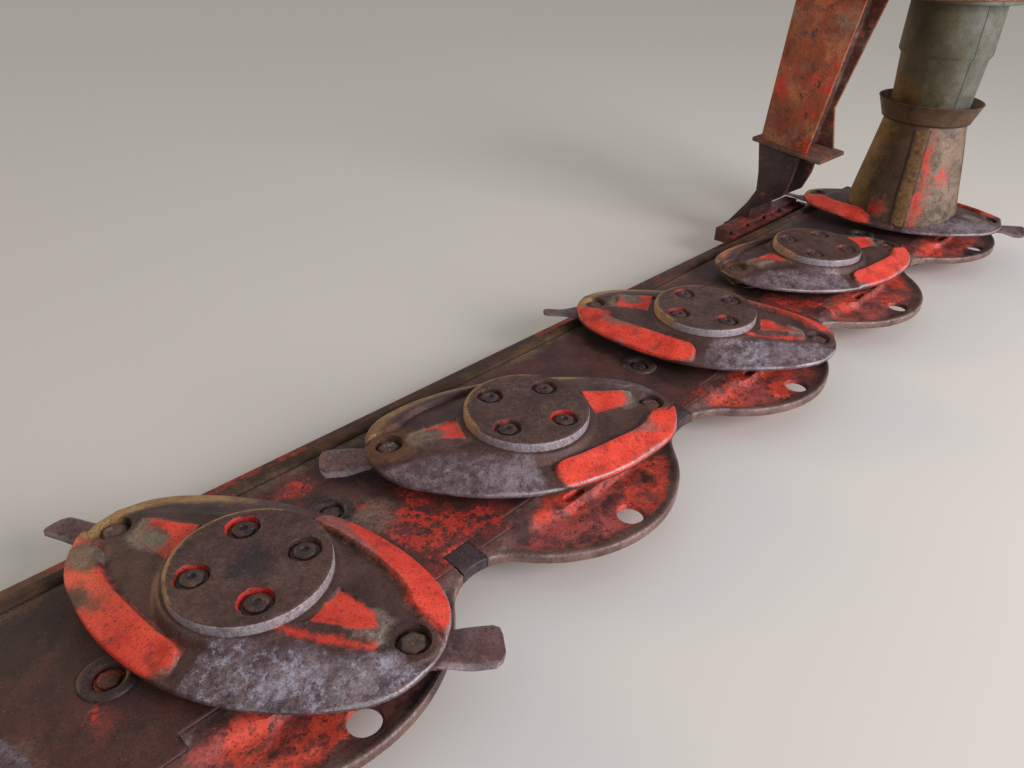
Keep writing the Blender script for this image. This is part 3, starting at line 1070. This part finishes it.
# Blade steel: smooth mauve-brown with dark stains, and a duller pale band where the edge is ground.
knife_steel = weathered("worn blade steel", ("#6b4c4a", "#886764"), [
    Coat("stain", "#452e2c", "#58403d", 22, 2.2, -0.1, 0.25, rough=0.6),
    Coat("streak", "#7b6a6b", "#8a797a", 8, 2.2, -0.35, 0.2, rough=0.45, metal=0.4),
    Coat("ground", "#75686b", "#8c8083", 8, 2.2, -0.2, 0.4, field="ground", gain=0.4, share=0.6, rough=0.4,
         metal=0.3),
], rough=0.5, metal=0.35, gloss=0.35, pits=0.32)
KNIFE_AIM = {1: (170, 280), 2: (115, 323), 3: (144, 165), 4: (132, 130), 5: (350, 175), 6: (90, 306)}
KNIFE_LOW, KNIFE_HIGH, KNIFE_HALF, KNIFE_REACH, KNIFE_TAIL, HOLE_R = 74.3, 78.7, 21.0, 84.0, 19.0, 10.4
# The edge that leads, as the disc turns, is the low one; the twist runs about a line inside it.
KNIFE_TWIST, KNIFE_PIVOT = math.tan(math.radians(14)), 0.5
shank_profile = [(0.01, 67.2), (13.4, 67.2), (13.8, 68), (13.8, 71.4), (16, 71.8), (16, 73.8), (10.1, 73.9),
                 (10.1, 84.4), (0.01, 84.4)]
for n, look in DISC_LOOK.items():
    ends = [turned_by(look["axis"] + t, BOLT_AT, 0) for t in (0, 180)]
    bolts = [(DISC_X[n] + x, y) for x, y in ends]
    head = hex_bolt("knife_head", 24, 7.2, washer=14.6, washer_h=1.4, dome=2.0, dimple=0.8)
    places = [(x, y, WELL_Z, 20 + 40 * k + 11 * n) for k, (x, y) in enumerate(bolts)]
    scatter("knife_bolt_heads_%d" % n, head, places, bolt_steel, "rotor_%d" % n,
            ["knife_bolts_%d" % n])
    shank = loose_mesh("knife_shank", *revolve(shank_profile, 36))
    places = [(x, y, 0, 0) for x, y in bolts]
    scatter("knife_nuts_%d" % n, shank, places, bolt_steel, "rotor_%d" % n)
    for end, (bolt_x, bolt_y), aim in zip("ab", bolts, KNIFE_AIM[n]):
        # The tip's corners are worn, each blade's a little differently.
        wear = 3 + 2 * math.sin(7.0 * n + ord(end))
        tip = [(KNIFE_REACH - 9 - wear, -KNIFE_HALF + 0.4), (KNIFE_REACH - 3.5, -KNIFE_HALF + 4 + wear),
               (KNIFE_REACH, -KNIFE_HALF + 12 + wear), (KNIFE_REACH - 0.4, KNIFE_HALF - 12),
               (KNIFE_REACH - 2.4, KNIFE_HALF - 5), (KNIFE_REACH - 8, KNIFE_HALF - 0.6)]
        tail = [(KNIFE_TAIL * math.cos(t), KNIFE_TAIL * math.sin(t))
                for t in np.linspace(math.radians(112), math.radians(248), 16)]
        blade = [(6, -KNIFE_HALF + 1.4), (14, -KNIFE_HALF), *tip, (14, KNIFE_HALF), (6, KNIFE_HALF - 1.4), *tail]
        points, faces, edge = plan(blade, [circle(0, 0, HOLE_R, 36)], step=6, edge_step=3.5,
                                   rings=(0.8, 2.2, 4.5, 6.6))
        x, y = points.T
        side = KNIFE_HALF - np.abs(y)
        ground = smooth((x - 18) / 8)
        top = KNIFE_HIGH - 3.0 * smooth((6.5 - side) / 6.5) * ground - rounding(np.minimum(edge, 3), 0.8)
        top += ripple(x, y, 14, n + ord(end), 0.15) - 0.3 * smooth((10 - (KNIFE_REACH - x)) / 8)
        top = np.clip(top, KNIFE_LOW + 0.9, KNIFE_HIGH)
        drop = (KNIFE_PIVOT * KNIFE_HALF - look["hand"] * y) * KNIFE_TWIST * smooth((x - 22) / 34)
        verts, solid = slab(points, faces, top - drop, KNIFE_LOW - drop)
        x, y = turned_by(aim, verts[:, 0], verts[:, 1])
        build("knife_%d%s_blade" % (n, end), np.column_stack([bolt_x + x, bolt_y + y, verts[:, 2]]), solid,
              knife_steel, "blade_%d%s" % (n, end), ["knife_%d%s" % (n, end)],
              both_sides({"ground": np.minimum(5.2 - side, 3) * ground - 6 * (1 - ground)}), 30)


# Turret cone
# Sheet steel rolled to a cone, with a welded strip down each side, a funnel collar on top, and a
# foot cut to the drive disc's crown. It turns with the disc. The paint has gone olive-brown.
# Enamel on rolled sheet: olive-brown on the left and grey-tan on the right, with one ragged red run
# beside the strip and dark lines where the strip is welded on.
cone_paint = weathered("stained enamel on rolled sheet", ("#4b3827", "#624a30"), [
    Coat("pale", "#7f6c5a", "#97826e", 44, 1.8, 0.0, 0.35, field="pale", gain=0.03, share=0.9, rough=0.65),
    Coat("dark", "#352b22", "#43382b", 48, 2.4, -0.2, 0.3, share=0.8, rough=0.6),
    Coat("straw", "#7c6233", "#927543", 30, 1.8, 0.0, 0.3, field="far", gain=0.03, share=0.7, rough=0.8),
    Coat("rust", "#6b4630", "#7d5438", 28, 2.4, -0.4, 0.2, rough=0.85),
    Coat("faded", "#95604f", "#a5715f", 30, 2.6, 0.0, 0.4, field="red", gain=0.05, share=0.6, rough=0.6),
    Coat("red", "#bb3c2a", "#d24a33", 22, 3.4, -0.3, 0.16, field="red", gain=0.055, rough=0.5, thick=0.15),
    Coat("strip", "#5c4228", "#7d5c36", 14, 1.8, -0.1, 0.2, field="strip", gain=0.3, rough=0.85, mottle=9),
    Coat("weld", "#2c2420", "#3b302a", 8, 1.0, 0.0, 0.3, field="weld", gain=0.5, share=0.8, rough=0.7),
], rough=0.6, mottle_mm=70)
FOOT_R, HEAD_R, FOOT_Z, HEAD_Z, SHEET = 115.0, 80.0, 78.0, 283.0, 4.0
STRIP_HALF, STRIP_THICK, STRIP_TOP = 14.5, 2.6, HEAD_Z - 9
CONE_TURNS, CONE_ROWS, FOOT_CUT_R, FOOT_GAP = 160, 60, 112, 0.3
# Red that is left: direction in degrees from the front, height, half width in degrees, half height.
CONE_RED = [(14, 215, 7, 80), (17, 135, 9, 44), (40, 186, 9, 26), (-25, 112, 9, 26), (150, 150, 20, 50)]


def half_turns(degrees):
    """The same direction between -180 and 180 degrees."""
    return (degrees + 180) % 360 - 180


verts, fields = [], {key: [] for key in ("red", "pale", "strip", "far", "weld")}
for k in range(CONE_TURNS):
    angle = 2 * math.pi * k / CONE_TURNS
    out_x, out_y = math.cos(angle), math.sin(angle)
    foot_x, foot_y = turned_by(-DISC_LOOK[6]["axis"], FOOT_CUT_R * out_x, FOOT_CUT_R * out_y)
    foot = disc_form(np.array([foot_x]), np.array([foot_y]), False)[0][0] + FOOT_GAP
    from_axis = math.degrees(angle) - DISC_LOOK[6]["axis"]
    from_strip, from_front = abs((from_axis + 180) % 180 - 90), half_turns(from_axis - 90)
    for wall in (0, 1):
        for j in range(CONE_ROWS + 1):
            z = foot + (HEAD_Z - foot) * j / CONE_ROWS
            r = FOOT_R + (HEAD_R - FOOT_R) * (z - FOOT_Z) / (HEAD_Z - FOOT_Z)
            across = math.radians(from_strip) * r
            marks = dict(red=-40, pale=-40, far=-40, strip=-13, weld=-13)
            if wall == 0:
                r += STRIP_THICK * smooth((STRIP_HALF - across) / 2.4) * smooth((STRIP_TOP - z) / 3)
                spots = [1 - math.hypot(half_turns(from_front - a) / w, (z - h) / t)
                         for a, h, w, t in CONE_RED]
                marks["red"] = 14 * max(spots)
                marks["pale"] = 30 - abs(from_front - 48) - 0.12 * max(150 - z, 0)
                marks["far"] = 18 - abs(from_front + 62)
                if z < STRIP_TOP:
                    marks["strip"] = 13 - across
                if z < STRIP_TOP + 3:
                    marks["weld"] = 2.2 - abs(across - STRIP_HALF)
            r += 0.5 * noise.noise(Vector((out_x * 1.3, out_y * 1.3, z / 70))) - SHEET * wall
            verts.append((r * out_x, r * out_y, z))
            for key, value in marks.items():
                fields[key].append(value)
# Each column holds the outer wall's points, then the inner wall's.
solid, inner = [], CONE_ROWS + 1
for k in range(CONE_TURNS):
    a, b = 2 * inner * k, 2 * inner * ((k + 1) % CONE_TURNS)
    for j in range(CONE_ROWS):
        solid += [(a + j, b + j, b + j + 1, a + j + 1),
                  (a + inner + j, a + inner + j + 1, b + inner + j + 1, b + inner + j)]
    solid += [(a + inner - 1, b + inner - 1, b + 2 * inner - 1, a + 2 * inner - 1),
              (a, a + inner, b + inner, b)]
build("cone_sheet", verts, solid, cone_paint, "rotor_6", ["cone"], fields, 40)


def turned(name, profile, material, body, nodes, fields=None, sag=0.0):
    """A turned piece in millimetres about the drive's axis, slightly out of true where sag is given."""
    verts, faces = revolve(profile, 120)
    if sag:
        grow = np.array([1 + sag * noise.noise(Vector((a / 40, b / 40, z / 60))) / max(math.hypot(a, b), 1)
                         for a, b, z in verts])
        verts[:, :2] *= grow[:, None]
    mesh = loose_mesh(name, verts, faces)
    give_fields(mesh, fields)
    finish_piece(name, mesh, material, body, nodes)


turned("cone_collar_funnel", [
    (76, 283), (84, 283), (86.5, 285), (88, 290), (99.5, 319), (101.5, 322), (100.5, 323.2), (98.5, 322),
    (84.5, 291), (82, 288), (76, 287)], cone_paint, "rotor_6", ["cone_collar"], sag=1.2, fields={
        "red": lambda x, y, z: -30.0, "pale": lambda x, y, z: 8.0 if x > 0 else -20.0,
        "strip": lambda x, y, z: -13.0, "far": lambda x, y, z: (z - 300) * 0.5 - 22,
        "weld": lambda x, y, z: 3.0 if z < 289 else -9.0})


# Drive sleeve and band
# The fixed sheet sleeve that the cone's collar turns round, with a welded seam, a rolled bead, and
# a band with a flange under the head plate. A shaft stands in it and comes out at the top.
# Enamel on thin sheet: grey-olive and cool, browner towards the collar, with one dark seam.
sleeve_paint = weathered("stained grey-olive sheet", ("#4c4734", "#615a42"), [
    Coat("pale", "#5f6055", "#737468", 70, 1.8, 0.0, 0.4, field="pale", gain=0.03, rough=0.6),
    Coat("brown", "#665029", "#806537", 46, 2.4, -0.05, 0.3, field="low", gain=0.03, share=0.85, rough=0.8),
    Coat("seam", "#2a2722", "#38332b", 8, 0.8, 0.0, 0.3, field="seam", gain=0.6, share=0.9, rough=0.7),
    Coat("dark", "#38312a", "#464036", 70, 2.2, -0.35, 0.35, share=0.7, rough=0.6),
], rough=0.6, mottle_mm=80, grime=0.3)
# The seam runs up the side that the camera sees, a little right of its middle.
SEAM_X, SEAM_Y = math.cos(math.radians(-126)), math.sin(math.radians(-126))


def seam(x, y, z):
    """How far inside the weld seam a point lies."""
    return 1.2 - abs(x * SEAM_Y - y * SEAM_X) if x * SEAM_X + y * SEAM_Y > 0 else -9.0


sleeve_fields = {"pale": lambda x, y, z: 0.16 * x - 0.5 * y - 16,
                 "low": lambda x, y, z: (345 - z) * 0.5 + 0.3 * y, "seam": seam}
turned("sleeve_sheet", [
    (67, 291), (73, 291), (73.6, 293), (81.2, 407), (83.6, 410), (84.6, 414), (83.6, 418), (82, 421),
    (76.5, 421)], sleeve_paint, "bar", ["sleeve"], sleeve_fields, sag=1.0)
turned("sleeve_band_ring", [
    (82, 413), (86, 413), (87, 415), (87, 508.6), (89, 510), (116.6, 510), (118, 511.4), (118, 516.6),
    (116.6, 518), (81, 518), (81, 424), (82, 421)], sleeve_paint, "bar", ["sleeve_band"], sleeve_fields)
# Shaft steel: plain grey metal with rust, the one clean machined surface.
shaft_finish = weathered("dull shaft steel", ("#6d6764", "#817a76"), [
    Coat("rust", "#62463a", "#745443", 24, 2.2, -0.2, 0.2, rough=0.75),
], rough=0.4, metal=0.7)
softened("drive_shaft", 0.8, shaft_finish, body="rotor_6")


# Hanger
# The arm that carries the bar from the frame: two plates that stand proud of a web, on a thin base
# plate, with thick gussets and a foot rail bolted along the back of the case.
# Enamel on welded plate: orange-brown chalk over red, with dark scrapes, and shaded dirt on the web
# between the two plates.
hanger_paint = weathered("chalky enamel on welded plate", ("#84402a", "#9c5030"), [
    Coat("chalk", "#b86e48", "#c68056", 70, 2.4, -0.1, 0.3, share=0.85, rough=0.75),
    Coat("bright", "#bd3a2a", "#cf4730", 52, 2.8, -0.25, 0.2, rough=0.5, thick=0.15),
    Coat("shade", "#2c2220", "#3a2c28", 20, 1.6, 0.0, 0.4, field="between", gain=0.2, share=0.9, rough=0.8),
    Coat("scrape", "#4b3630", "#5d463d", 24, 2.8, -0.4, 0.14, rough=0.7, thick=-0.15),
    Coat("dust", "#7c6654", "#8f7a65", 46, 2.4, -0.25, 0.3, share=0.7, rough=0.9),
], rough=0.55, mottle_mm=60, grime=0.6)
# Oily cast steel: dark brown, with red left in the hollows and grey where it is rubbed.
gusset_paint = weathered("oily cast gusset", ("#2f2322", "#43302d"), [
    Coat("red", "#7d322a", "#933d31", 40, 2.2, -0.35, 0.15, rough=0.6),
    Coat("rubbed", "#7b6f6c", "#8d817d", 18, 2.6, -0.62, 0.12, rough=0.45, metal=0.4),
], rough=0.5)
# Enamel on a bolted rail: maroon with red and rust in about equal parts.
rail_paint = weathered("dull enamel on a bolted rail", ("#4f2825", "#64322c"), [
    Coat("red", "#93352a", "#a63f31", 34, 2.2, -0.2, 0.15, rough=0.6),
    Coat("rust", "#5c3a2c", "#6d4736", 20, 2.4, -0.3, 0.2, rough=0.8),
], rough=0.6)
# Rusty plate: brown rust with thin red over it and pale crumbs, the most rusted piece.
base_paint = weathered("rusty base plate", ("#4f3a33", "#64493e"), [
    Coat("red", "#8f4236", "#a04d3f", 30, 2.6, -0.25, 0.2, rough=0.6),
    Coat("rust", "#6a4632", "#80573d", 22, 2.6, -0.2, 0.25, rough=0.85),
    Coat("pale", "#937c6c", "#a38d7c", 16, 2.6, -0.5, 0.2, rough=0.8),
], rough=0.7)
# Rusted nut: dark and orange rust, quite matt.
rust = weathered("rusted nut", ("#5c3f2b", "#725036"), [
    Coat("dark", "#33251d", "#433025", 14, 2.2, -0.1, 0.2, rough=0.8),
    Coat("orange", "#8a5a33", "#9c6a3f", 9, 2.4, -0.3, 0.2, rough=0.9),
], rough=0.8)
HANGER_X, HANGER_HALF = -202.0, 50.0
BASE_Y, BASE_Z, BASE_RISE = 94.0, 213.0, 18.0 / 155.0
softened("hanger_arm", 1.6, hanger_paint, fields={
    "between": lambda x, y, z: HANGER_HALF - 7 - abs(x - HANGER_X)})
softened("hanger_base", 1.6, base_paint)
nut = hex_bolt("base_nut", 22, 13, washer=15, washer_h=2.6, dome=1.8, dimple=3)
nut.transform(Matrix.Rotation(math.radians(180), 4, "X"))
nut_places = [(HANGER_X + x, y, BASE_Z + (y - BASE_Y) * BASE_RISE + 0.8, 40 * k)
              for k, (x, y) in enumerate([(-24, 128), (24, 128), (-24, 176), (24, 176)])]
scatter("base_nuts", nut, nut_places, rust, "bar")
softened("head_plate", 1.6, hanger_paint)
softened("hanger_gussets", 2.0, gusset_paint)
softened("hanger_foot", 1.4, rail_paint)
